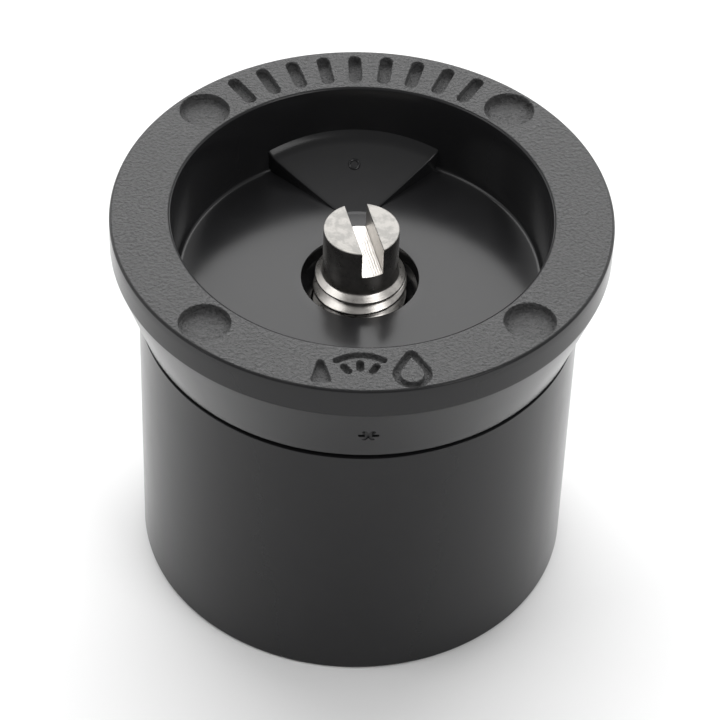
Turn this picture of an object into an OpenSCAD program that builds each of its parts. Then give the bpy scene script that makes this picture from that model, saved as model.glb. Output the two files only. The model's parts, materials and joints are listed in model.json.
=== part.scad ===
// Quarter-circle spray nozzle of a pop-up sprinkler head.
// Origin at the centre of the base rim. +Z runs up the nozzle's axis, and
// +Y points to the middle of the watered quarter circle.

/* [Flange] */
// Height of the whole nozzle
nozzle_h = 19.05; // [18:0.05:21]
// Radius of the flange
flange_r = 11; // [10.9:0.05:12]
// Height of the flange's upright rim
rim_h = 1.45; // [1:0.05:1.8]
// Width of the bevel along the rim's edges
edge_bevel = 0.12; // [0.05:0.01:0.2]

/* [Bowl] */
// Radius of the bowl at its mouth
mouth_r = 8.33; // [8:0.01:8.4]
// Depth of the bowl
bowl_depth = 3.85; // [3.5:0.05:4]
// How much narrower the bowl is at its floor
bowl_draft = 0.22; // [0:0.01:0.4]
// Radius of the rounding where the wall meets the floor
floor_round = 0.35; // [0.1:0.05:0.5]
// Radius of the clear hole around the screw
screw_well_r = 2.6; // [2.4:0.05:3]
// Depth of the clear hole
screw_well_depth = 1; // [0.5:0.1:1.2]

/* [Spray sector] */
// Angle of the watered sector
sector_angle = 90; // [60:5:110]
// Distance of the sector's point from the axis
sector_point_y = 3.5; // [3.2:0.05:4]
// Distance from the axis where the ramp leaves the floor
ramp_start_y = 4.25; // [4:0.05:4.8]
// Rise of the ramp, which is the angle at which the water leaves
ramp_angle = 19; // [12:1:22]
// Thickness of the ramp's roof, measured upright
roof_t = 0.95; // [0.8:0.05:1.1]
// Height of the water channel under the roof
channel_h = 0.8; // [0.5:0.05:0.9]
// Thickness of the sector's side walls
sector_wall = 0.6; // [0.4:0.05:0.9]

/* [Marks] */
// Number of grooves that mark the watered side
groove_count = 9; // [3:2:9]
// Angle from one groove to the next
groove_pitch = 8.05; // [6:0.05:8.2]
// Width of a groove
groove_w = 0.58; // [0.4:0.02:0.7]
// Depth of a groove
groove_depth = 0.4; // [0.3:0.05:0.8]
// Radius of the four round pits
pit_r = 1.12; // [0.8:0.02:1.15]
// Depth of the pits
pit_depth = 0.36; // [0.2:0.02:0.6]
// Distance of the pits from the axis
pit_ring_r = 9.68; // [9.65:0.01:9.75]
// Depth of the engraved signs
sign_depth = 0.3; // [0.15:0.05:0.4]
// Width of the engraved lines
sign_line = 0.32; // [0.2:0.02:0.4]

/* [Skirt] */
// Radius of the skirt
skirt_r = 9.8; // [9.7:0.05:9.9]
// Height of the skirt
skirt_h = 13.8; // [13.6:0.05:14]
// Height of the fine groove between the skirt and the cap
seam_h = 0.22; // [0.1:0.02:0.3]
// Depth of that groove
seam_depth = 0.4; // [0.2:0.05:0.6]

/* [Riser thread] */
// Radius to the crests of the inside thread
riser_crest_r = 7.47; // [7.4:0.01:7.5]
// Radius to its roots
riser_root_r = 7.94; // [7.85:0.01:8]
// Distance from one turn to the next
riser_pitch = 0.907; // [0.9:0.001:0.95]
// Height up to which the riser screws in
riser_depth = 6.6; // [6.4:0.1:6.8]
// Radius of the recess that the filter screen clips into
filter_seat_r = 6.3; // [6:0.1:6.8]
// Depth of that recess
filter_seat_depth = 1; // [0.8:0.1:1.1]

/* [Adjusting screw] */
// Outside radius of the screw's thread
screw_r = 2.085; // [2.05:0.005:2.1]
// Radius to the roots of the screw's thread
screw_root_r = 1.65; // [1.6:0.01:1.7]
// Distance from one turn to the next
screw_pitch = 0.794; // [0.79:0.001:0.8]
// Radius of the slotted head
head_r = 1.64; // [1.5:0.01:1.64]
// Height of the slotted head
head_h = 2.56; // [2.3:0.02:2.6]
// How far the head stays below the flange
head_drop = 0.97; // [0.85:0.01:1.2]
// Width of the screwdriver slot
slot_w = 0.94; // [0.8:0.02:1]
// Depth of the screwdriver slot
slot_depth = 1.37; // [1:0.01:1.4]
// Turn of the screwdriver slot, anticlockwise from +Y
slot_turn = 12; // [0:1:179]
// Radius of the plain throttle tip
tip_r = 2.05; // [2:0.01:2.05]

/* [Hidden] */
$fn = 96;

// a cut runs this far past the face it opens
over = 1;
plastic = [0.09, 0.09, 0.095];
steel = [0.75, 0.75, 0.73];

floor_z = nozzle_h - bowl_depth;
floor_r = mouth_r - bowl_draft;
rim_z = nozzle_h - rim_h;
cap_z = skirt_h + seam_h;
seam_r = skirt_r - seam_depth;
band_r = skirt_r + 0.04;

// spigot of the cap, inside the body's socket
spigot_r = 8.6;
socket_r = spigot_r + 0.04;
spigot_inner_r = 7;
spigot_z = 10.8;

// underside of the bowl, and the boss that holds the screw
web_z = 13;
boss_r = 3.6;
boss_z = 10.4;
boss_bore_r = screw_r + 0.05;

// slope of the ramp, and the heights of its planes where the ramp starts
ramp_rise = tan(ramp_angle);
roof_under_z = floor_z - roof_t;
channel_floor_z = roof_under_z - channel_h;
// the channel's walls stand inside the sector's walls
channel_point_y = sector_point_y + sector_wall / sin(sector_angle / 2);
orifice_inner_r = 5;
orifice_outer_r = 6;

// wall with the seat that the throttle tip closes
seat_z = riser_depth + filter_seat_depth;
seat_t = 1;
seat_r = 2.14;
chamber_z = seat_z + seat_t;
thread_lead_in = 0.6;

screw_top_z = nozzle_h - head_drop;
thread_top_z = screw_top_z - head_h;
tip_top_z = 11.4;
tip_h = 1.2;
tip_cone_h = 0.4;
// the thread's first turn is a flat-topped collar
collar_r = 1.98;
collar_h = 0.12;

sign_y = -9.62;

// one closed outline, turned about the axis
module turned(points) {
    rotate_extrude($fn = 180) polygon(points);
}

// a wedge seen from above, with its point on +Y, open towards +Y
module sector(point_y, z_low, z_high) {
    reach = 2 * flange_r;
    side = reach * tan(sector_angle / 2);
    translate([0, 0, z_low])
        linear_extrude(height = z_high - z_low)
            polygon([
                [0, point_y],
                [side, point_y + reach],
                [-side, point_y + reach]
            ]);
}

// the space under one sloping plane and above another, both named by their
// height where the ramp starts
module sloped_slab(z_low, z_high) {
    y_in = 0;
    y_out = 2 * flange_r;
    fall = ramp_rise * (ramp_start_y - y_in);
    rise = ramp_rise * (y_out - ramp_start_y);
    rotate([90, 0, 90])
        linear_extrude(height = 4 * flange_r, center = true)
            polygon([
                [y_in, z_low - fall],
                [y_out, z_low + rise],
                [y_out, z_high + rise],
                [y_in, z_high - fall]
            ]);
}

// the raised ramp in the bowl
module spray_ramp() {
    intersection() {
        sector(sector_point_y, floor_z - over / 2, nozzle_h);
        sloped_slab(floor_z - 2 * over, floor_z);
        cylinder(h = nozzle_h, r = mouth_r + 0.6);
    }
}

// the water's way: up through the arc-shaped orifice, then out under the roof
module water_way() {
    intersection() {
        sector(channel_point_y, web_z - over, nozzle_h);
        sloped_slab(channel_floor_z, roof_under_z);
    }
    intersection() {
        sector(channel_point_y, web_z - over, nozzle_h);
        sloped_slab(channel_floor_z - 2 * over, channel_floor_z + channel_h / 2);
        difference() {
            cylinder(h = nozzle_h, r = orifice_outer_r);
            cylinder(h = nozzle_h, r = orifice_inner_r);
        }
    }
}

// one groove of the flange, with its long side towards the axis
module groove() {
    r_out = 10.62 - groove_w / 2;
    r_in = 8.75 + groove_w / 2;
    for (r = [r_in, r_out])
        translate([0, r, 0]) cylinder(h = groove_depth + over, r = groove_w / 2, $fn = 32);
    translate([-groove_w / 2, r_in, 0])
        cube([groove_w, r_out - r_in, groove_depth + over]);
}

// the row of grooves that shows where the water goes
module groove_row() {
    first = -(groove_count - 1) / 2;
    for (k = [0 : groove_count - 1])
        rotate([0, 0, (first + k) * groove_pitch])
            translate([0, 0, nozzle_h - groove_depth])
                groove();
}

// the four pits between the quarters
module pits() {
    bevel = 0.06;
    for (turn = [45 : 90 : 315])
        rotate([0, 0, turn])
            translate([0, pit_ring_r, nozzle_h]) {
                translate([0, 0, -pit_depth]) cylinder(h = pit_depth + over, r = pit_r);
                translate([0, 0, -bevel]) cylinder(h = bevel, r1 = pit_r, r2 = pit_r + bevel);
            }
}

// an arc of one line's width, clipped to a wedge on +Y
module arc_line(r, half_angle) {
    reach = 2 * r;
    intersection() {
        difference() {
            circle(r = r, $fn = 64);
            circle(r = r - sign_line, $fn = 64);
        }
        polygon([
            [0, 0],
            [reach * tan(half_angle), reach],
            [-reach * tan(half_angle), reach]
        ]);
    }
}

// a straight line from the origin towards +Y
module bar_line(length) {
    translate([-sign_line / 2, 0]) square([sign_line, length]);
}

// sign for the spray: a fan of three jets under an arc
module fan_sign() {
    fan_r = 1.9;
    translate([0, -fan_r / 2]) {
        arc_line(fan_r, 38);
        for (turn = [-32, 0, 32])
            rotate(turn) translate([0, fan_r * 0.42]) bar_line(fan_r * 0.34);
    }
}

// sign for the direction: a small triangle that points at the bowl
module triangle_sign() {
    polygon([[-0.42, -0.75], [0.42, -0.75], [0, 0.75]]);
}

// sign for the water: the outline of a drop
module drop_shape(r, tip) {
    angle = acos(r / tip);
    circle(r = r, $fn = 64);
    polygon([
        [0, tip],
        [r * sin(angle), r * cos(angle)],
        [-r * sin(angle), r * cos(angle)]
    ]);
}

module drop_sign() {
    drop_r = 0.82;
    translate([0, -0.3])
        difference() {
            drop_shape(drop_r, 1.55);
            drop_shape(drop_r - sign_line, 1.55 - 2 * sign_line);
        }
}

// the signs engraved on the flange, on the side away from the water
module signs() {
    translate([0, sign_y, nozzle_h - sign_depth])
        linear_extrude(height = sign_depth + over) {
            translate([-2.05, 0]) triangle_sign();
            translate([-0.4, 0]) fan_sign();
            translate([1.75, 0]) drop_sign();
        }
}

// small star-shaped mould mark on the band below the flange
module mould_mark() {
    arm = 0.62;
    arm_w = 0.12;
    arm_depth = 1.2;
    for (turn = [0 : 60 : 120])
        translate([0, -10.3, 15.85])
            rotate([0, turn, 0])
                translate([-arm / 2, -arm_depth / 2 + 0.12, -arm_w / 2])
                    cube([arm, arm_depth / 2, arm_w]);
}

// flange, bowl and band, with the spigot and the screw's boss below
module deflector_cap() {
    wall_slope = bowl_draft / bowl_depth;
    color(plastic)
        difference() {
            union() {
                turned([
                    [0, boss_z],
                    [boss_r, boss_z],
                    [boss_r, web_z],
                    [spigot_inner_r, web_z],
                    [spigot_inner_r, spigot_z],
                    [spigot_r - edge_bevel, spigot_z],
                    [spigot_r, spigot_z + edge_bevel],
                    [spigot_r, skirt_h],
                    [seam_r, skirt_h],
                    [seam_r, cap_z],
                    [band_r, cap_z],
                    [flange_r - edge_bevel / 2, rim_z - edge_bevel],
                    [flange_r, rim_z],
                    [flange_r, nozzle_h - edge_bevel],
                    [flange_r - edge_bevel, nozzle_h],
                    [mouth_r + edge_bevel / 2, nozzle_h],
                    [mouth_r, nozzle_h - edge_bevel / 2],
                    for (a = [0 : 15 : 90]) [
                        floor_r - floor_round * (1 - cos(a)),
                        floor_z + floor_round * (1 - sin(a))
                    ],
                    [0, floor_z]
                ]);
                spray_ramp();
            }
            translate([0, 0, floor_z - screw_well_depth])
                cylinder(h = screw_well_depth + over, r = screw_well_r);
            translate([0, 0, boss_z - over])
                cylinder(h = bowl_depth + floor_z, r = boss_bore_r);
            water_way();
            groove_row();
            pits();
            signs();
            mould_mark();
        }
}

// the outline of an inside thread as stacked rings, from its lowest turn up
function riser_thread(turns) = [
    for (k = [0 : turns - 1], step = [0 : 3])
        let (base = thread_lead_in + k * riser_pitch, flat = riser_pitch / 8)
        [
            step == 0 || step == 3 ? riser_crest_r : riser_root_r,
            base + [flat, (riser_pitch - flat) / 2, (riser_pitch + flat) / 2, riser_pitch - flat][step]
        ]
];

// skirt with the riser's thread, the seat and the cap's socket
module nozzle_body() {
    turns = floor((riser_depth - thread_lead_in) / riser_pitch);
    color(plastic)
        turned(concat(
            [
                [skirt_r, edge_bevel],
                [skirt_r - edge_bevel, 0],
                [riser_root_r + edge_bevel, 0],
                [riser_crest_r, thread_lead_in]
            ],
            riser_thread(turns),
            [
                [riser_crest_r, riser_depth],
                [filter_seat_r, riser_depth],
                [filter_seat_r, seat_z],
                [seat_r, seat_z],
                [seat_r, chamber_z],
                [spigot_inner_r, chamber_z],
                [spigot_inner_r, spigot_z],
                [socket_r, spigot_z],
                [socket_r, skirt_h],
                [skirt_r - edge_bevel / 2, skirt_h],
                [skirt_r, skirt_h - edge_bevel / 2]
            ]
        ));
}

// the screw's turns as rings, from the top one down
function screw_thread(turns) = [
    for (k = [1 : turns], step = [0 : 3])
        let (crest_z = thread_top_z - k * screw_pitch, flat = screw_pitch / 16)
        [
            step == 0 || step == 3 ? screw_root_r : screw_r,
            crest_z + [screw_pitch / 2 - flat, flat, -flat, flat - screw_pitch / 2][step]
        ]
];

// slotted screw that sets the flow
module adjusting_screw() {
    turns = floor((thread_top_z - tip_top_z) / screw_pitch - 0.5);
    bevel = 0.08;
    color(steel)
        difference() {
            turned(concat(
                [
                    [0, screw_top_z],
                    [head_r - bevel, screw_top_z],
                    [head_r, screw_top_z - bevel],
                    [head_r, thread_top_z],
                    [collar_r, thread_top_z],
                    [collar_r, thread_top_z - collar_h],
                    [screw_root_r, thread_top_z - screw_pitch / 2]
                ],
                screw_thread(turns),
                [[screw_root_r, tip_top_z], [0, tip_top_z]]
            ));
            rotate([0, 0, slot_turn])
                translate([-slot_w / 2, -2 * head_r, screw_top_z - slot_depth])
                    cube([slot_w, 4 * head_r, slot_depth + over]);
        }
}

// plain end of the screw, which closes the seat
module throttle_tip() {
    color(steel)
        turned([
            [0, tip_top_z],
            [tip_r, tip_top_z],
            [tip_r, tip_top_z - tip_h + tip_cone_h],
            [tip_r - tip_cone_h, tip_top_z - tip_h],
            [0, tip_top_z - tip_h]
        ]);
}

nozzle_body();
deflector_cap();
adjusting_screw();
throttle_tip();
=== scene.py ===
import json
import math
import bpy
import bmesh
import numpy as np
from mathutils import Matrix, Vector


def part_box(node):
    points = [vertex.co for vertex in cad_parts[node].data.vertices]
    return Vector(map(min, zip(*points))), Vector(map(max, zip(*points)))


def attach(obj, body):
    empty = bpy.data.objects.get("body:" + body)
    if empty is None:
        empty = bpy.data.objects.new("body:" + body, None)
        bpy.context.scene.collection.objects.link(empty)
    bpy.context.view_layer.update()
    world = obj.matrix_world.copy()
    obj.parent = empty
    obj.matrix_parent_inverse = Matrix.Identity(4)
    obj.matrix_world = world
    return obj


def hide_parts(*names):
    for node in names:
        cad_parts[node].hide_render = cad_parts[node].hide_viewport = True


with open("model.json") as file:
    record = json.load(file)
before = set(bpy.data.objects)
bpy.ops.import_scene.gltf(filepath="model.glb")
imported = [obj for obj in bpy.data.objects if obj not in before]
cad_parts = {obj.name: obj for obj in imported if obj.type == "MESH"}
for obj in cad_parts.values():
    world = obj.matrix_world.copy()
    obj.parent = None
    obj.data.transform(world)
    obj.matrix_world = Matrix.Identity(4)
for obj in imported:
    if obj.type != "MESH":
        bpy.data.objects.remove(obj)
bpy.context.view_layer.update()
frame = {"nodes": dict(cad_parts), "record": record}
mm = 0.001  # shapes are worked out in millimetres, and meshes are in metres


def cadBoxOf(node):
    return [np.array(corner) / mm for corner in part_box(node)]


capLow, capHigh = cadBoxOf("deflector_cap")
bodyLow, bodyHigh = cadBoxOf("nozzle_body")
screwLow, screwHigh = cadBoxOf("adjusting_screw")
tipLow, tipHigh = cadBoxOf("throttle_tip")
mounts = {mount["name"]: mount["dims"] for mount in frame["record"]["mounts"]}
topZ = capHigh[2]
print("frame loaded:", sorted(frame["nodes"]))


def gridFaces(rows, columns, wrapRows, wrapColumns, first):
    # each cell joins a point, the next one in its row and the two past them
    index = np.arange(rows * columns).reshape(rows, columns) + first
    cells = np.stack([index, np.roll(index, -1, 1), np.roll(index, (-1, -1), (0, 1)),
                      np.roll(index, -1, 0)], -1)
    lastRow = rows if wrapRows else rows - 1
    lastColumn = columns if wrapColumns else columns - 1
    return cells[:lastRow, :lastColumn].reshape(-1, 4)


def meshOf(name, shells, wrapRows=False, ends=True):
    # shells are grids whose rows are closed loops; ends closes the first and the last row,
    # and wrapRows joins the last row to the first one
    points, faces, first = [], [], 0
    for grid in shells:
        rows, columns = grid.shape[:2]
        points.append(grid.reshape(-1, 3) * mm)
        faces += gridFaces(rows, columns, wrapRows, True, first).tolist()
        if ends and not wrapRows:
            faces.append(list(range(first, first + columns)))
            faces.append(list(range(first + (rows - 1) * columns, first + rows * columns)))
        first += rows * columns
    mesh = bpy.data.meshes.new(name)
    mesh.from_pydata(np.vstack(points).tolist(), [], faces)
    work = bmesh.new()
    work.from_mesh(mesh)
    bmesh.ops.remove_doubles(work, verts=work.verts, dist=0.0004 * mm)
    bmesh.ops.dissolve_degenerate(work, edges=work.edges, dist=0.0002 * mm)
    bmesh.ops.recalc_face_normals(work, faces=work.faces)
    work.to_mesh(mesh)
    work.free()
    piece = bpy.data.objects.new(name, mesh)
    bpy.context.scene.collection.objects.link(piece)
    return piece


def combine(piece, other, operation):
    change = piece.modifiers.new("combine", "BOOLEAN")
    change.operation = operation
    change.solver = "MANIFOLD"
    change.object = other
    graph = bpy.context.evaluated_depsgraph_get()
    mesh = bpy.data.meshes.new_from_object(piece.evaluated_get(graph))
    piece.modifiers.clear()
    piece.data = mesh
    bpy.data.objects.remove(other)


def finish(piece, body, nodes, slot, material, sharpAngle=38):
    # smooth faces that meet below the angle, with the big faces kept flat
    piece.data.shade_smooth()
    piece.data.set_sharp_from_angle(angle=math.radians(sharpAngle))
    flat = piece.modifiers.new("even", "WEIGHTED_NORMAL")
    flat.keep_sharp = True
    flat.weight = 60
    piece.data.materials.clear()
    piece.data.materials.append(material)
    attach(piece, body)
    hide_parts(*nodes)
    faces = sum(len(face.vertices) - 2 for face in piece.data.polygons)
    print(piece.name, "has", faces, "triangles")


def roundProfile(corners, steps=5):
    # (radius, height, rounding) corners; each becomes the arc that touches both its sides
    spots = np.array([corner[:2] for corner in corners], float)
    before = np.roll(spots, 1, 0) - spots
    after = np.roll(spots, -1, 0) - spots
    before /= np.linalg.norm(before, axis=1, keepdims=True)
    after /= np.linalg.norm(after, axis=1, keepdims=True)
    parts = []
    for spot, back, on, rounding in zip(spots, before, after, [c[2] for c in corners]):
        half = math.acos(np.clip(back @ on, -1, 1)) / 2
        if rounding == 0 or half > math.radians(88):
            parts.append(spot[None])
            continue
        middle = (back + on) / np.linalg.norm(back + on)
        across = (on - back) / np.linalg.norm(on - back)
        centre = spot + middle * rounding / math.sin(half)
        turns = np.linspace(-1, 1, steps + 1)[:, None] * (math.pi / 2 - half)
        parts.append(centre + rounding * (np.sin(turns) * across - np.cos(turns) * middle))
    return np.vstack(parts)


def split(profile, longest):
    # long straight sides are cut into equal steps, so that faces stay small
    parts = []
    for here, there in zip(profile, np.roll(profile, -1, 0)):
        count = max(1, math.ceil(np.linalg.norm(there - here) / longest))
        parts.append(here + (there - here) * (np.arange(count) / count)[:, None])
    return np.vstack(parts)


def turned(radii, heights, columns):
    # radius and height against the turn about the axis; a radius may change with the turn
    turn = np.arange(columns) * 2 * math.pi / columns
    radii = np.broadcast_to(np.reshape(radii, (len(heights), -1)), (len(heights), columns))
    heights = np.broadcast_to(np.asarray(heights)[:, None], radii.shape)
    return np.stack([radii * np.cos(turn), radii * np.sin(turn), heights], -1)


def strokeOutline(path, reach, steps=10):
    # the path moved `reach` to its left, a half circle, the path moved to its right, a half circle
    along = np.gradient(path, axis=0)
    along /= np.linalg.norm(along, axis=1, keepdims=True)
    side = np.stack([-along[:, 1], along[:, 0]], 1)
    turn = np.linspace(0, math.pi, steps + 1)[1:-1, None]
    far = path[-1] + reach * (np.cos(turn) * side[-1] + np.sin(turn) * along[-1])
    near = path[0] - reach * (np.cos(turn) * side[0] + np.sin(turn) * along[0])
    return np.vstack([path + reach * side, far, (path - reach * side)[::-1], near])


def cornerOutline(corners, reach, steps=6):
    # a convex outline grown by `reach`: its corners, anticlockwise, become arcs of that radius
    spots = np.array(corners, float)
    ahead = np.roll(spots, -1, 0) - spots
    angles = np.unwrap(np.arctan2(ahead[:, 1], ahead[:, 0])) - math.pi / 2
    before = np.roll(angles, 1)
    before[0] -= 2 * math.pi
    share = np.linspace(0, 1, steps + 1)
    turns = before[:, None] + (angles - before)[:, None] * share
    ring = spots[:, None] + reach * np.stack([np.cos(turns), np.sin(turns)], -1)
    return ring.reshape(-1, 2)


def arcPath(radius, halfAngle, steps=24):
    turn = np.radians(90 + np.linspace(halfAngle, -halfAngle, steps + 1))
    return radius * np.stack([np.cos(turn), np.sin(turn)], 1)


def linePath(start, end, steps=2):
    share = np.linspace(0, 1, steps + 1)[:, None]
    return np.array(start, float) * (1 - share) + np.array(end, float) * share


def pocketLevels(depth, reach, mouth, foot, over=0.6, steps=5):
    # height and reach from the pocket's floor up: rounded foot, upright wall, rounded mouth
    turn = np.linspace(0, math.pi / 2, steps + 1)
    lift = 0.003  # the face is cut just inside the mouth's last step
    heights = [-depth + foot * (1 - np.cos(turn)), lift - mouth + mouth * np.sin(turn), [over]]
    reaches = [reach - foot + foot * np.sin(turn), reach + mouth * (1 - np.cos(turn)),
               [reach + mouth]]
    return np.stack([np.concatenate(heights), np.concatenate(reaches)], 1)


def pocket(outlineAt, levels):
    # one outline per level, each at its own height and reach
    rings = [np.c_[outline, np.full(len(outline), height)]
             for height, outline in ((h, outlineAt(reach)) for h, reach in levels)]
    return np.stack(rings)


def place(grid, turn=0.0, shift=(0, 0, 0)):
    # the grid is shifted and then turned about the axis
    angle = math.radians(turn)
    spin = np.array([[math.cos(angle), -math.sin(angle), 0],
                     [math.sin(angle), math.cos(angle), 0], [0, 0, 1]])
    return (grid + np.array(shift)) @ spin.T


class Field:
    # a number that changes over a surface; sums and products of fields add Math nodes
    def __init__(self, maker, socket):
        self.maker = maker
        self.socket = socket

    def calc(self, operation, *others):
        node = self.maker.node("Math", {"operation": operation},
                               dict(enumerate((self, *others))))
        return Field(self.maker, node.outputs[0])

    def __add__(self, other):
        return self.calc("ADD", other)

    def __sub__(self, other):
        return self.calc("SUBTRACT", other)

    def __rsub__(self, other):
        return (self * -1).calc("ADD", other)

    def __mul__(self, other):
        return self.calc("MULTIPLY", other)

    def __rmul__(self, other):
        return self.calc("MULTIPLY", other)

    def __pow__(self, other):
        return self.calc("POWER", other)

    def ramp(self, low, high):
        # 0 below low, 1 above high, and smooth between them
        node = self.maker.node("MapRange", {"interpolation_type": "SMOOTHSTEP"},
                               {"Value": self, "From Min": low, "From Max": high})
        return Field(self.maker, node.outputs["Result"])


class Finish:
    # a Principled material that is built up by its maker
    def __init__(self, name, constants):
        self.material = bpy.data.materials.new(name)
        self.material.use_nodes = True
        self.tree = self.material.node_tree
        self.tree.nodes.clear()
        self.shader = self.node("BsdfPrincipled", {}, constants)
        self.node("OutputMaterial", {}, {"Surface": self.shader.outputs[0]})
        self.spot = self.node("TexCoord", {}, {}).outputs["Object"]
        parts = self.node("SeparateXYZ", {}, {0: self.spot}).outputs
        self.x, self.y, self.z = (Field(self, part) for part in parts)

    def node(self, kind, settings, inputs):
        made = self.tree.nodes.new("ShaderNode" + kind)
        for name, value in settings.items():
            setattr(made, name, value)
        for name, value in inputs.items():
            value = getattr(value, "socket", value)
            if isinstance(value, bpy.types.NodeSocket):
                self.tree.links.new(value, made.inputs[name])
            else:
                made.inputs[name].default_value = value
        return made

    def radius(self):
        return (self.x * self.x + self.y * self.y) ** 0.5

    def noise(self, size, detail=2.0, roughness=0.5):
        # size is the width of one blot, in metres
        spot = self.node("Mapping", {}, {"Vector": self.spot, "Scale": [1 / size] * 3}).outputs[0]
        made = self.node("TexNoise", {}, {"Vector": spot, "Scale": 1.0, "Detail": detail,
                                          "Roughness": roughness})
        return Field(self, made.outputs["Fac"])

    def set(self, name, value):
        value = getattr(value, "socket", value)
        self.tree.links.new(value, self.shader.inputs[name])

    def colour(self, factor, low, high):
        made = self.node("Mix", {"data_type": "RGBA", "clamp_factor": False},
                         {"Factor": factor, 6: (*low, 1), 7: (*high, 1)})
        self.set("Base Color", made.outputs[2])

    def bump(self, height, distance):
        made = self.node("Bump", {}, {"Height": height, "Distance": distance})
        self.set("Normal", made.outputs[0])


plasticLook = {
    "dark": (0.0120, 0.0120, 0.0128),
    "worn": (0.0150, 0.0150, 0.0158),
    "ior": 1.335,
    "glossRough": 0.19,
    "matteRough": 0.39,
    "grain": 0.15 * mm,        # width of one grain of the matte face
    "grainDepth": 0.200 * mm,
    "matteLift": 0.064,        # the matte faces scatter a little more light
    "ripple": 2.2 * mm,        # width of the slow waves of the moulded faces
    "rippleDepth": 0.006 * mm,
    "cloud": 1.4 * mm,         # width of the soft spots in colour and gloss
    "speck": 0.5 * mm,         # width of the rare paler specks
}


def blackPlastic(name, matteAt=None):
    # glossy moulded plastic; matteAt gives the mask of the spark-eroded, grainy faces
    look = plasticLook
    finish = Finish(name, {"IOR": look["ior"]})
    grain = finish.noise(look["grain"], 3.0, 0.62)
    cloud = finish.noise(look["cloud"], 3.0, 0.6)
    ripple = finish.noise(look["ripple"], 1.0, 0.4)
    speck = finish.noise(look["speck"], 1.0, 0.4).ramp(0.74, 0.8)
    matte = matteAt(finish) if matteAt else 0.0
    wear = (cloud - 0.5) * 0.9 + speck * 0.5
    lift = look["matteLift"] / (look["worn"][1] - look["dark"][1])
    finish.colour(wear + 0.4 + matte * (grain * 1.6 + 0.2) * lift, look["dark"], look["worn"])
    rough = matte * (look["matteRough"] - look["glossRough"]) + look["glossRough"]
    finish.set("Roughness", (cloud - 0.5) * 0.08 + matte * (grain - 0.5) * 0.3 + rough)
    coarse = matte * (look["grainDepth"] / look["rippleDepth"]) * grain
    finish.bump(ripple + coarse + grain * 0.04, look["rippleDepth"])
    return finish.material


# where the matte face starts and where it is full, or the reverse at the rim, in millimetres
matteZone = {
    "below": (0.80, 0.70),  # down from the flange's top
    "mouth": (0.05, 0.15),  # outwards from the bowl's mouth
    "rim": (0.14, 0.04),    # inwards from the rim
}


def matteTop(finish):
    # the flange's upper face with all that is cut into it, but not the bowl and the rim
    high = finish.z.ramp(*((topZ - step) * mm for step in matteZone["below"]))
    inside = finish.radius().ramp(*((mouthR + step) * mm for step in matteZone["mouth"]))
    outside = finish.radius().ramp(*((flangeR - step) * mm for step in matteZone["rim"]))
    return high * inside * (1 - outside)


steelLook = {
    "pale": (0.50, 0.48, 0.455),
    "dull": (0.21, 0.205, 0.195),
    "rough": 0.29,
    "topRough": 0.56,
    "lineDepth": 0.010 * mm,
    "ringStep": 0.13 * mm,     # from one turned ring to the next on the head's top
    "sideStep": 0.07 * mm,     # from one line to the next on the round sides
    "sawStep": 0.12 * mm,      # from one line to the next in the slot
    "waver": 0.08 * mm,        # how far the lines stray, over blots of waverWidth
    "waverWidth": 0.5 * mm,
    "blot": 0.45 * mm,         # width of the worn spots
    "fine": 0.06 * mm,         # width of the finest grain
    "topEdge": (0.06, 0.02),   # depth in millimetres over which the top's look fades in
    "sideEdge": (0.05, 0.02),  # and the depth inside the head's side
}


def machinedSteel(name, slotTurn):
    # turned rings on round faces, and saw lines along the screwdriver slot
    look = steelLook
    finish = Finish(name, {"Metallic": 1.0})
    turn = math.radians(slotTurn)
    shift = (finish.noise(look["waverWidth"], 1.0) - 0.5) * look["waver"]
    across = finish.x * math.cos(turn) + finish.y * math.sin(turn) + shift
    top = finish.z.ramp(*((screwHigh[2] - step) * mm for step in look["topEdge"]))
    # the slot's faces lie inside the head's round side, above its floor
    edge = [(screwSize["headRadius"] - step) * mm for step in look["sideEdge"]]
    inside = 1 - finish.radius().ramp(*edge)
    sawn = inside.calc("MAXIMUM", top)
    rings = ((finish.radius() + shift) * (2 * math.pi / look["ringStep"])).calc("SINE")
    side = (finish.z * (2 * math.pi / look["sideStep"])).calc("SINE")
    saw = (across * (2 * math.pi / look["sawStep"])).calc("SINE")
    blot = finish.noise(look["blot"], 3.0, 0.6)
    fine = finish.noise(look["fine"], 2.0, 0.6)
    lines = top * rings * 0.3 + (1 - top) * (inside * saw * 0.5 + (1 - inside) * side * 0.06)
    worn = blot.ramp(0.38, 0.62)
    # the head's top is duller than the rest
    finish.colour(worn * 0.3 + (lines * 0.06 + 0.7) * (1 - top), look["dull"], look["pale"])
    rough = (top * 0.7 + sawn * 0.3) * (look["topRough"] - look["rough"]) + look["rough"]
    finish.set("Roughness", (blot - 0.5) * 0.16 + rough)
    finish.bump(lines * 0.5 + fine * sawn, look["lineDepth"])
    return finish.material


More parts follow.
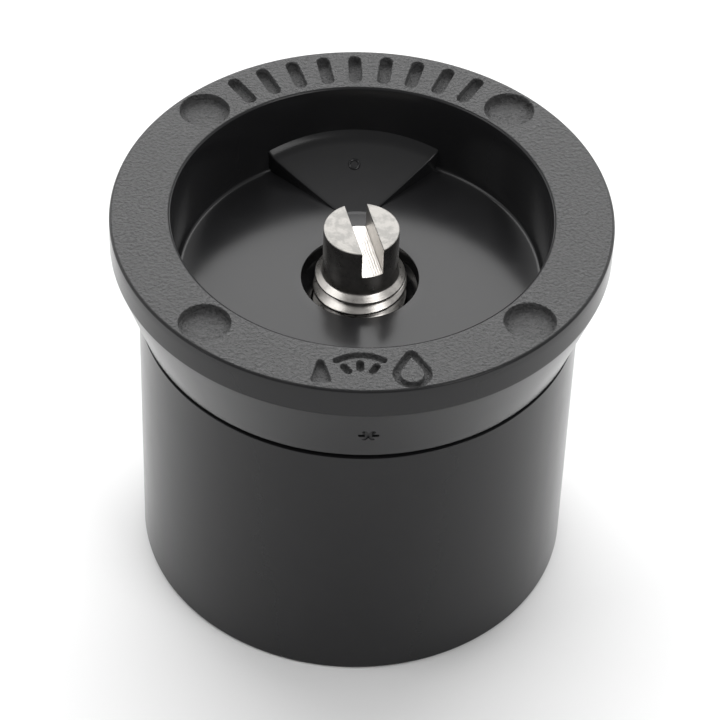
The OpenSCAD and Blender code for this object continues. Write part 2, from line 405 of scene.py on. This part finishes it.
capSize = {
    "mouthRadius": 8.33,
    "bowlDepth": 3.85,
    "bowlDraft": 0.22,
    "floorFillet": 0.22,
    "lipRounding": 0.10,
    "rimHeight": 1.45,
    "rimRounding": 0.12,
    "bandLift": 0.04,       # the band's foot stands out past the skirt by this
    "seamHeight": 0.28,
    "seamDepth": 0.50,
    "wellRadius": 2.60,
    "wellDepth": 1.30,
    "bossRadius": 3.60,
    "boreGap": 0.05,        # between the screw's crests and its bore
    "webHeight": 13.00,
    "spigotRadius": 8.60,
    "spigotInner": 7.00,
    "spigotHeight": 10.80,
    "longestSide": 0.5,
    "columns": 360,
}
mouthR = capSize["mouthRadius"]
floorR = mouthR - capSize["bowlDraft"]
floorZ = topZ - capSize["bowlDepth"]
rimZ = topZ - capSize["rimHeight"]
flangeR = min(capHigh[0], -capLow[0], capHigh[1], -capLow[1])
skirtR = min(bodyHigh[0], -bodyLow[0], bodyHigh[1], -bodyLow[1])
skirtTop = bodyHigh[2]


def capShell():
    size = capSize
    seamTop = skirtTop + size["seamHeight"]
    seamR = skirtR - size["seamDepth"]
    boreR = screwHigh[0] + size["boreGap"]
    corners = [
        (boreR, capLow[2], 0.08),
        (size["bossRadius"], capLow[2], 0.12),
        (size["bossRadius"], size["webHeight"], 0.3),
        (size["spigotInner"], size["webHeight"], 0.3),
        (size["spigotInner"], size["spigotHeight"], 0.1),
        (size["spigotRadius"], size["spigotHeight"], 0.12),
        (size["spigotRadius"], skirtTop, 0),
        (seamR, skirtTop, 0),
        (seamR, seamTop, 0.03),
        (skirtR + size["bandLift"], seamTop, 0.03),
        (flangeR, rimZ, 0.16),
        (flangeR, topZ, size["rimRounding"]),
        (mouthR, topZ, size["lipRounding"]),
        (floorR, floorZ, size["floorFillet"]),
        (size["wellRadius"], floorZ, 0.05),
        (size["wellRadius"], floorZ - size["wellDepth"] / 2, 0.1),
        (boreR, floorZ - size["wellDepth"], 0.03),
    ]
    profile = split(roundProfile(corners, 6), size["longestSide"])
    return meshOf("DeflectorCap", [turned(profile[:, 0], profile[:, 1], size["columns"])],
                  wrapRows=True)


sectorSize = {
    "halfAngle": 46.5,
    "pointY": 3.50,
    "startY": 4.25,
    "rampAngle": 19.0,
    "rampBow": 0.018,       # how the ramp steepens outwards
    "rampTurn": 0.7,        # the ramp sits this far round from the marks
    "edgeRounding": 0.07,
    "wallFillet": 1.10,
    "filletTurn": 33.0,
    "roof": 0.95,
    "channelHeight": 0.80,
    "sideWall": 0.60,
    "mouthRounding": 0.18,
    "mouthOut": 0.74,       # the band's face at the channel's mouth, out from the skirt
    "underside": -3.0,      # the ramp's solid reaches this far below its face
    "wallMeet": 0.10,       # the fillet meets the wall this far out from the floor's edge
    "solidEnd": 0.60,       # and the ramp's solid ends inside the wall, this far out
    "solidRise": 0.12,      # and this much above the fillet's end
    "straightEnd": 1.2,     # the channel is straight up to here, inwards from its mouth
}
rampRise = math.tan(math.radians(sectorSize["rampAngle"]))


def rampHeight(y):
    # height of the ramp's face, with its slight bow
    out = y - sectorSize["startY"]
    return floorZ + rampRise * out + sectorSize["rampBow"] * out * (y - mouthR)


def sectorTube(turns, points, lifts, leans, rows):
    # columns are lines that leave a wedge's point at their own turns, and rows are where they
    # cross circles about the axis; heights lie on the ramp's face plus the column's lift
    turns, points, lifts, leans = (np.array(part, float)[None] for part in
                                   (turns, points, lifts, leans))
    share, circle, raised, spread = (part[:, None] for part in rows.T)
    points = points - spread * math.sqrt(2)
    along = points * np.cos(turns)
    reach = share * (np.sqrt(along ** 2 + circle ** 2 - points ** 2) - along)
    x = reach * np.sin(turns)
    y = points + reach * np.cos(turns)
    z = rampHeight(y) + lifts + leans * raised
    return place(np.stack([x, y, z], -1), sectorSize["rampTurn"])


def rampShell():
    # the cross-section runs round: underside, left face, rounded edge, top, rounded edge, right
    size = sectorSize
    half = math.radians(size["halfAngle"])
    rounding = size["edgeRounding"]
    arc = np.linspace(0, math.pi / 2, 6)
    inset = rounding * (1 - np.cos(arc))
    drop = rounding * (np.sin(arc) - 1)
    flat = np.linspace(-1, 1, 41)[1:-1]
    ones = np.ones_like
    deep = size["underside"]
    turns = np.r_[0, -half, -half * ones(arc), half * flat, half * ones(arc), half]
    edge = size["pointY"] + math.sqrt(2) * np.r_[0, 0, inset, rounding * ones(flat), inset[::-1], 0]
    lifts = np.r_[deep, deep, drop, 0 * flat, drop[::-1], deep]
    leans = np.r_[0, 0, ones(arc), ones(flat), ones(arc), 0]
    # the fillet is the lower part of an arc, and it ends where it meets the wall
    fillet = size["wallFillet"]
    climb = np.radians(np.linspace(0, size["filletTurn"], 10))
    start = floorR + size["wallMeet"] - fillet * math.sin(climb[-1])
    rows = [(share, start, 0, 0) for share in np.linspace(0, 1, 12)]
    rows += [(1, start + fillet * math.sin(t), fillet * (1 - math.cos(t)), 0)
             for t in climb[1:]]
    # the outer end follows the circle down to the underside
    end = floorR + size["solidEnd"]
    rows += [(1, end, fillet * (1 - math.cos(climb[-1])) + size["solidRise"], 0),
             (1, end, deep, 0)]
    return meshOf("ramp", [sectorTube(turns, edge, lifts, leans, np.array(rows))])


def channelShell():
    # the water's way under the ramp: a flat wedge with a rounded mouth in the band
    size = sectorSize
    half = math.radians(size["halfAngle"])
    top, low = -size["roof"], -size["roof"] - size["channelHeight"]
    flat = np.linspace(-1, 1, 25)
    point = size["pointY"] + size["sideWall"] * math.sqrt(2)
    turns = np.r_[half * flat, half * flat[::-1]]
    lifts = np.r_[low + 0 * flat, top + 0 * flat]
    leans = np.r_[-1 + 0 * flat, 1 + 0 * flat]
    # the band slopes, so the mouth is found at the middle of the channel's height
    mouth = size["mouthRounding"]
    faceR = skirtR + size["mouthOut"]
    turn = np.linspace(0, math.pi / 2, 7)
    rows = [(share, faceR - size["straightEnd"], 0, 0) for share in (0, 0.5, 1)]
    rows += [(1, faceR - mouth + mouth * math.sin(t), mouth * (1 - math.cos(t)),
              mouth * (1 - math.cos(t))) for t in turn]
    past = flangeR + 2
    rows += [(1, past, mouth, mouth), (1, past, -size["channelHeight"] / 2, mouth)]
    return meshOf("channel", [sectorTube(turns, point + 0 * turns, lifts, leans, np.array(rows))])


orificeSize = {
    "pathRadius": 5.5,
    "halfAngle": 37,
    "halfWidth": 0.5,
    "lowEnd": 0.5,          # up from the cap's lowest point, below the web
    "highEnd": 1.5,         # down from the bowl's floor; most of the channel lies higher
}


def orificeShell():
    # the arc-shaped hole below the channel, which it meets only along its inner edge
    size = orificeSize
    path = arcPath(size["pathRadius"], size["halfAngle"], 30)
    levels = [(capLow[2] + size["lowEnd"], size["halfWidth"]),
              (floorZ - size["highEnd"], size["halfWidth"])]
    return meshOf("orifice", [pocket(lambda reach: strokeOutline(path, reach), levels)])


markSize = {
    "grooveCount": 9,
    "groovePitch": 8.05,
    "grooveWidth": 0.58,
    "grooveDepth": 0.40,
    "grooveInner": 8.75,
    "grooveOuter": 10.62,
    "grooveFoot": 0.12,
    "pitRadius": 1.12,
    "pitDepth": 0.40,
    "pitRing": 9.68,
    "pitTurns": (45, 135, 225, 315),
    "pitFoot": 0.10,
    "signDepth": 0.30,
    "signLine": 0.32,
    "signFoot": 0.06,
    "signY": -9.62,
    "triangleX": -2.05,
    "triangleCore": ((-0.26, -0.60), (0.26, -0.60), (0, 0.40)),
    "fanX": -0.4,
    "fanRadius": 1.9,
    "fanHalfAngle": 34,
    "jetTurns": (-32, 0, 32),
    "jetStart": 0.42,       # as shares of the fan's radius
    "jetEnd": 0.76,
    "dropX": 1.75,
    "dropDown": 0.3,
    "dropRadius": 0.66,
    "dropTip": 1.31,
    "starArm": 0.36,        # from the star's middle to the middle of an arm's round end
    "starLine": 0.09,       # half the width of an arm
    "starDepth": 0.18,
    "starY": -10.43,
    "starZ": 15.85,
    "mouldRing": 0.22,
    "mouldWire": 0.06,
    "mouldX": -0.06,
    "mouldY": 6.65,
    "edge": 0.05,           # rounding of every engraved edge
}


def grooves():
    size = markSize
    reach = size["grooveWidth"] / 2
    path = linePath((0, size["grooveInner"] + reach), (0, size["grooveOuter"] - reach))
    levels = pocketLevels(size["grooveDepth"], reach, size["edge"], size["grooveFoot"])
    groove = pocket(lambda reach: strokeOutline(path, reach), levels)
    middle = (size["grooveCount"] - 1) / 2
    return [place(groove, (count - middle) * size["groovePitch"], (0, 0, topZ))
            for count in range(size["grooveCount"])]


def pits():
    size = markSize
    levels = pocketLevels(size["pitDepth"], size["pitRadius"], size["edge"], size["pitFoot"])
    turn = np.arange(72) * 2 * math.pi / 72
    circle = np.stack([np.cos(turn), np.sin(turn)], 1)
    pit = pocket(lambda reach: reach * circle, levels)
    return [place(pit, angle, (0, size["pitRing"], topZ)) for angle in size["pitTurns"]]


def signs():
    # a triangle, a fan of three jets under an arc, and a drop, all cut into the flange
    size = markSize
    line = size["signLine"] / 2
    levels = pocketLevels(size["signDepth"], line, size["edge"], size["signFoot"])
    fanR = size["fanRadius"]
    paths = [arcPath(fanR - line, size["fanHalfAngle"])]
    for turn in size["jetTurns"]:
        way = np.array([math.sin(math.radians(turn)), math.cos(math.radians(turn))])
        paths.append(linePath(way * (fanR * size["jetStart"] + line),
                              way * (fanR * size["jetEnd"] - line)))
    cuts = [place(pocket(lambda reach, path=path: strokeOutline(path, reach), levels), 0,
                  (size["fanX"], size["signY"] - fanR / 2, topZ)) for path in paths]
    core = size["triangleCore"]
    cuts.append(place(pocket(lambda reach: cornerOutline(core, reach), levels), 0,
                      (size["triangleX"], size["signY"], topZ)))
    cuts.append(place(dropRing(levels, size["dropRadius"], size["dropTip"]), 0,
                      (size["dropX"], size["signY"] - size["dropDown"], topZ)))
    return cuts


def dropRing(levels, radius, tip):
    # the pocket's cross-section carried along the closed outline of a drop
    lean = math.acos(radius / tip)
    wide = np.linspace(math.pi / 2 + lean, 2.5 * math.pi - lean, 49)
    bow = 0.12  # rounding of the drop's point
    centre = np.array([0, tip - bow / math.sin(math.pi / 2 - lean)])
    point = np.linspace(math.pi / 2 - lean, math.pi / 2 + lean, 9)
    ways = np.r_[point, wide]
    normal = np.stack([np.cos(ways), np.sin(ways)], 1)
    path = np.vstack([centre + bow * normal[:9], radius * normal[9:]])
    heights = np.r_[levels[:, 0], levels[::-1, 0]]
    sides = np.r_[levels[:, 1], -levels[::-1, 1]]
    flatPath = path[:, None] + normal[:, None] * sides[None, :, None]
    return np.concatenate([flatPath, np.broadcast_to(heights[None, :, None],
                                                     (*flatPath.shape[:2], 1))], -1)


def mouldStar():
    # three short cuts that cross, in the band below the flange
    size = markSize
    levels = pocketLevels(size["starDepth"], size["starLine"], mouth=0.03, foot=0.02)
    path = linePath((-size["starArm"], 0), (size["starArm"], 0))
    arm = pocket(lambda reach: strokeOutline(path, reach, 6), levels)
    star = []
    for turn in (0, 60, 120):
        cut = place(arm, turn)
        star.append(np.stack([cut[..., 0], size["starY"] - cut[..., 2],
                              size["starZ"] + cut[..., 1]], -1))
    return star


def mouldRing():
    # a small raised ring on the ramp: a circle swept round a larger one, laid on the slope
    size = markSize
    ring, wire = size["mouldRing"], size["mouldWire"]
    turn = np.arange(40)[:, None] * 2 * math.pi / 40
    around = np.arange(12)[None] * 2 * math.pi / 12
    reach = ring + wire * np.cos(around)
    x = reach * np.cos(turn) + size["mouldX"]
    y = reach * np.sin(turn) + size["mouldY"]
    z = rampHeight(y) + wire * np.sin(around)
    return meshOf("mouldRing", [np.stack([x, y, z], -1)], wrapRows=True)


def buildCap():
    piece = capShell()
    combine(piece, rampShell(), "UNION")
    combine(piece, mouldRing(), "UNION")
    combine(piece, meshOf("cuts", grooves() + pits()), "DIFFERENCE")
    allSigns = signs()
    combine(piece, meshOf("signs", allSigns[:-1]), "DIFFERENCE")
    combine(piece, meshOf("drop", allSigns[-1:], wrapRows=True), "DIFFERENCE")
    for arm in mouldStar():
        combine(piece, meshOf("star", [arm]), "DIFFERENCE")
    combine(piece, channelShell(), "DIFFERENCE")
    combine(piece, orificeShell(), "DIFFERENCE")
    finish(piece, "nozzle", ["deflector_cap"], "cap_plastic",
           blackPlastic("capPlastic", matteTop), 26)


bodySize = {
    "footRounding": 0.14,
    "topRounding": 0.03,
    "threadRoot": 7.94,
    "threadPitch": 0.907,
    "threadStart": 0.08,    # heights between which the thread is cut
    "threadEnd": 6.40,
    "crestFlat": 0.12,
    "leadIn": 0.60,
    "mouthOut": 0.12,       # the mouth is wider than the thread's root by this
    "seatWall": 1.00,
    "seatRadius": 2.14,
    "socketGap": 0.04,
    "rowsPerTurn": 20,
    "columns": 240,
}


def threadShape(phase, flat):
    # 0 at the root and 1 at the crest, with a flat crest and slanted sides
    wave = 1 - np.abs((phase % 1.0) * 2 - 1)
    return np.clip((wave - flat) / (1 - 2 * flat), 0, 1)


def buildBody():
    size = bodySize
    crest = mounts["riser_thread"]["r_mm"]
    depth = mounts["riser_thread"]["length_mm"] + size["leadIn"]
    seatR = mounts["filter_seat"]["r_mm"]
    seatZ = depth + mounts["filter_seat"]["length_mm"]
    chamberZ = seatZ + size["seatWall"]
    socketR = capSize["spigotRadius"] + size["socketGap"]
    mouth = size["threadRoot"] + size["mouthOut"]
    columns = size["columns"]
    corners = [
        (mouth, 0, 0.05),
        (skirtR, 0, size["footRounding"]),
        (skirtR, skirtTop, size["topRounding"]),
        (socketR, skirtTop, 0.05),
        (socketR, capSize["spigotHeight"], 0.05),
        (capSize["spigotInner"], capSize["spigotHeight"], 0.05),
        (capSize["spigotInner"], chamberZ, 0.2),
        (size["seatRadius"], chamberZ, 0.05),
        (size["seatRadius"], seatZ, 0.05),
        (seatR, seatZ, 0.1),
        (seatR, depth, 0.05),
        (crest, depth, 0.0),
    ]
    profile = roundProfile(corners)
    # the thread: radius falls from root to crest as the phase of height and turn goes round
    end, start = size["threadEnd"], size["threadStart"]
    count = int((end - start) / size["threadPitch"] * size["rowsPerTurn"])
    heights = np.linspace(end, start, count)
    turn = np.arange(columns) / columns
    phase = heights[:, None] / size["threadPitch"] - turn
    fade = np.clip((end - heights) / size["threadPitch"], 0, 1)[:, None]
    cut = (1 - threadShape(phase, size["crestFlat"])) * fade
    radii = crest + (size["threadRoot"] - crest) * cut
    chamfer = mouth - (mouth - crest) * heights / size["leadIn"]
    radii = np.maximum(radii, chamfer[:, None])
    allRadii = np.vstack([np.repeat(profile[:, :1], columns, 1), radii])
    allHeights = np.r_[profile[:, 1], heights]
    piece = meshOf("NozzleBody", [turned(allRadii, allHeights, columns)], wrapRows=True)
    finish(piece, "nozzle", ["nozzle_body"], "body_plastic", blackPlastic("bodyPlastic"), 65)


screwSize = {
    "rootRadius": 1.65,
    "pitch": 0.794,
    "headRadius": 1.67,
    "headHeight": 2.56,
    "headChamfer": 0.05,
    "headFoot": 0.16,       # rounding from the head down to the collar
    "footLift": 0.15,       # where the head's side ends, above the collar
    "collarRadius": 2.01,
    "collarHeight": 0.14,
    "collarDrop": 0.06,     # where the collar's slope ends
    "threadStart": 0.03,    # the thread grows out of the shank this far below the collar
    "slotWidth": 0.97,
    "slotDepth": 1.37,
    "slotTurn": 12.0,
    "slotShift": 0.12,      # the saw cut is a little off the axis
    "slotEdge": 0.05,
    "threadTurn": 0.547,    # where the thread starts, as a share of one turn
    "threadFade": 0.25,     # the share of a turn in which it grows to its full depth
    "crestFlat": 0.10,
    "rowsPerTurn": 32,
    "columns": 180,
}


def buildScrew(steel):
    size = screwSize
    top, low = screwHigh[2], screwLow[2]
    crest, root = screwHigh[0], size["rootRadius"]
    head, chamfer = size["headRadius"], size["headChamfer"]
    seat = top - size["headHeight"]
    foot = seat - size["collarHeight"]
    columns = size["columns"]
    start = foot - size["threadStart"]
    profile = roundProfile([
        (0, top, 0),
        (head, top, chamfer),
        (head, seat + size["footLift"], size["headFoot"]),
        (size["collarRadius"], seat - size["collarDrop"], 0.07),
        (size["collarRadius"], foot, 0.05),
        (root, start, 0),
    ])[:-1]
    radii, heights = profile.T
    # the crest climbs one pitch for each turn, and is a helix
    count = int((start - low) / size["pitch"] * size["rowsPerTurn"])
    threadZ = np.linspace(start, low, count)
    turn = np.arange(columns) / columns
    phase = threadZ[:, None] / size["pitch"] - turn + size["threadTurn"]
    fade = np.clip((start - threadZ) / (size["threadFade"] * size["pitch"]), 0, 1)[:, None]
    threadR = root + (crest - root) * threadShape(phase, size["crestFlat"]) * fade
    allRadii = np.vstack([np.repeat(radii[:, None], columns, 1), threadR,
                          np.zeros((1, columns))])
    allHeights = np.r_[heights, threadZ, low]
    piece = meshOf("AdjustingScrew", [turned(allRadii, allHeights, columns)], ends=False)
    combine(piece, slotCut(), "DIFFERENCE")
    finish(piece, "screw", ["adjusting_screw"], "screw_steel", steel, 70)


def slotCut():
    # a bar with slightly rounded lower edges, and an upper edge that breaks the head's corner
    size = screwSize
    top = screwHigh[2]
    half, depth, edge = size["slotWidth"] / 2, size["slotDepth"], size["slotEdge"]
    lift = 0.002  # the head's top is cut just inside the edge's last step
    turn = np.linspace(0, math.pi / 2, 5)
    side = np.r_[half - edge + edge * np.sin(turn), half + edge * (1 - np.cos(turn)), half + edge]
    height = np.r_[top - depth + edge * (1 - np.cos(turn)),
                   top + lift - edge + edge * np.sin(turn), top + 1]
    loop = np.r_[np.c_[side, height], np.c_[-side, height][::-1]]
    reach = 2 * size["headRadius"]
    grid = np.stack([np.c_[loop[:, 0], np.full(len(loop), y), loop[:, 1]]
                     for y in (-reach, reach)])
    return meshOf("slot", [place(grid, size["slotTurn"], (size["slotShift"], 0, 0))])


tipSize = {"cone": 0.40, "columns": 96}


def buildTip(steel):
    radius, cone = tipHigh[0], tipSize["cone"]
    profile = roundProfile([
        (0, tipHigh[2], 0),
        (radius, tipHigh[2], 0.04),
        (radius, tipLow[2] + cone, 0.06),
        (radius - cone, tipLow[2], 0.06),
        (0, tipLow[2], 0),
    ])
    piece = meshOf("ThrottleTip", [turned(profile[:, 0], profile[:, 1], tipSize["columns"])],
                   ends=False)
    finish(piece, "throttle", ["throttle_tip"], "screw_steel", steel, 32)


studio = {
    "floorSize": 3.0,
    "floorDrop": 0.01 * mm,
    "floorColour": (0.80, 0.80, 0.80),
    "frontSky": 0.35,
    "backSky": 1.05,
    "skyFade": (-0.35, 0.45),   # from front to back, as the direction's part along Y
    "lightDistance": 0.60,
}
# azimuth is turned from +Y towards +X
softboxes = {
    "backSoftbox": {"azimuth": 0, "elevation": 42.0, "size": (0.90, 0.52), "radiance": 3.6},
    "rightSoftbox": {"azimuth": 134, "elevation": 48, "size": (0.24, 0.34), "radiance": 4.0},
    "leftSoftbox": {"azimuth": -98, "elevation": 46, "size": (0.25, 0.35), "radiance": 2.4},
}


def buildFloor():
    half, drop = studio["floorSize"] / 2, studio["floorDrop"]
    mesh = bpy.data.meshes.new("Floor")
    mesh.from_pydata([(-half, -half, -drop), (half, -half, -drop), (half, half, -drop),
                      (-half, half, -drop)], [], [(0, 1, 2, 3)])
    floor = bpy.data.objects.new("Floor", mesh)
    bpy.context.scene.collection.objects.link(floor)
    paint = Finish("floorPaint", {"Base Color": (*studio["floorColour"], 1), "Roughness": 0.9,
                                  "Specular IOR Level": 0.1})
    mesh.materials.append(paint.material)


def softbox(name, box, aim):
    # power is radiance times pi times area
    light = bpy.data.lights.new(name, "AREA")
    light.shape = "RECTANGLE"
    light.size, light.size_y = box["size"]
    light.energy = box["radiance"] * math.pi * box["size"][0] * box["size"][1]
    lamp = bpy.data.objects.new(name, light)
    bpy.context.scene.collection.objects.link(lamp)
    turn, rise = math.radians(box["azimuth"]), math.radians(box["elevation"])
    way = Vector((math.sin(turn) * math.cos(rise), math.cos(turn) * math.cos(rise),
                  math.sin(rise)))
    facing = way.to_track_quat("Z", "Y").to_matrix().to_4x4()
    lamp.matrix_world = Matrix.Translation(aim + way * studio["lightDistance"]) @ facing


def buildLight():
    world = bpy.data.worlds.new("Studio")
    bpy.context.scene.world = world
    world.use_nodes = True
    nodes, links = world.node_tree.nodes, world.node_tree.links
    # the room is dim in front of the object and bright behind it
    way = nodes.new("ShaderNodeSeparateXYZ")
    fade = nodes.new("ShaderNodeMapRange")
    fade.interpolation_type = "SMOOTHSTEP"
    low, high = studio["skyFade"]
    for name, value in (("From Min", low), ("From Max", high),
                        ("To Min", studio["frontSky"]), ("To Max", studio["backSky"])):
        fade.inputs[name].default_value = value
    links.new(nodes.new("ShaderNodeTexCoord").outputs["Generated"], way.inputs[0])
    links.new(way.outputs["Y"], fade.inputs["Value"])
    sky = nodes["Background"]
    sky.inputs["Color"].default_value = (1.0, 1.0, 1.0, 1)
    links.new(fade.outputs["Result"], sky.inputs["Strength"])
    aim = Vector((0, 0, topZ * mm))
    for name, box in softboxes.items():
        softbox(name, box, aim)


cameraSetup = {
    "distance": 0.150,
    "azimuth": -3.3,        # turned from -Y towards +X
    "elevation": 44.865,
    "lens": 164.88,
    "pan": -0.052,
    "tilt": 0.132,
    "roll": -2.062,
}


def buildCamera():
    setup = cameraSetup
    turn, rise = math.radians(setup["azimuth"]), math.radians(setup["elevation"])
    back = Vector((math.sin(turn) * math.cos(rise), -math.cos(turn) * math.cos(rise),
                   math.sin(rise)))
    right = Vector((math.cos(turn), math.sin(turn), 0))
    axes = Matrix((right, back.cross(right), back)).transposed()
    for axis, angle in ((1, setup["pan"]), (0, setup["tilt"]), (2, -setup["roll"])):
        axes = Matrix.Rotation(math.radians(angle), 3, axes.col[axis]) @ axes
    data = bpy.data.cameras.new("Camera")
    data.lens = setup["lens"]
    data.sensor_width = 36
    data.clip_start = 0.005
    camera = bpy.data.objects.new("Camera", data)
    bpy.context.scene.collection.objects.link(camera)
    middle = Vector((0, 0, topZ * mm / 2))
    camera.matrix_world = Matrix.Translation(middle + back * setup["distance"]) @ axes.to_4x4()
    bpy.context.scene.camera = camera
    bpy.context.scene.view_settings.view_transform = "Standard"


steel = machinedSteel("screwSteel", screwSize["slotTurn"])
buildCap()
buildBody()
buildScrew(steel)
buildTip(steel)
print("pieces made")
buildFloor()
buildLight()
buildCamera()
print("stage, light and camera made")
